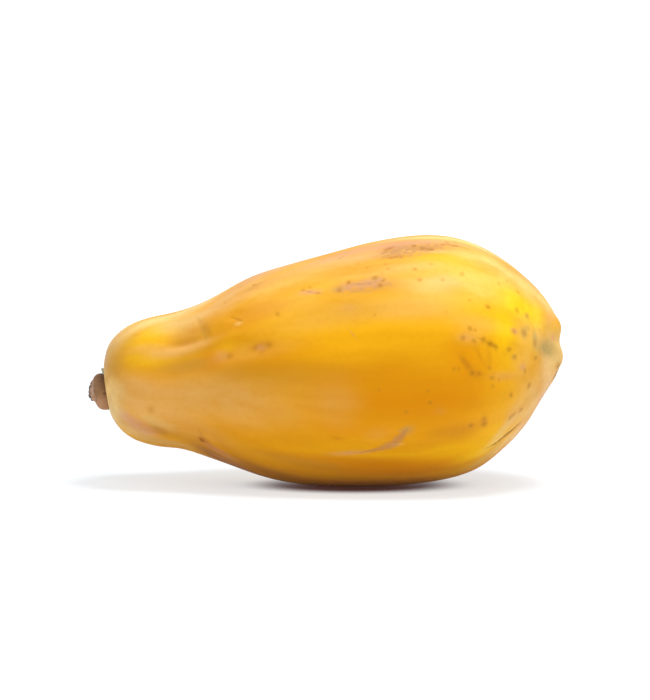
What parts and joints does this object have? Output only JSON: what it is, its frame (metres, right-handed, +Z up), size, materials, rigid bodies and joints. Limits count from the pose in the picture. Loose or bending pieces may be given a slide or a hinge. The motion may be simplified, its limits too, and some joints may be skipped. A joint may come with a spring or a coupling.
{
  "type": "papaya",
  "caption": "Ripe yellow-orange pear-shaped papaya lying on its belly, with a short dry stalk stub at its neck and a puckered pit at its blossom end.",
  "frame": {"origin": "centre of the bounding box on the surface that the fruit rests on", "axes": "+X runs along the fruit from the stalk to the blossom end, +Z is up, and -Y is the fruit's best side"},
  "size_m": [0.2066, 0.108, 0.1097],
  "materials": {
    "skin": "satin",
    "bark": "matte"
  },
  "bodies": {
    "root": {"fruit": "skin", "stalk": "bark"}
  },
  "joints": []
}
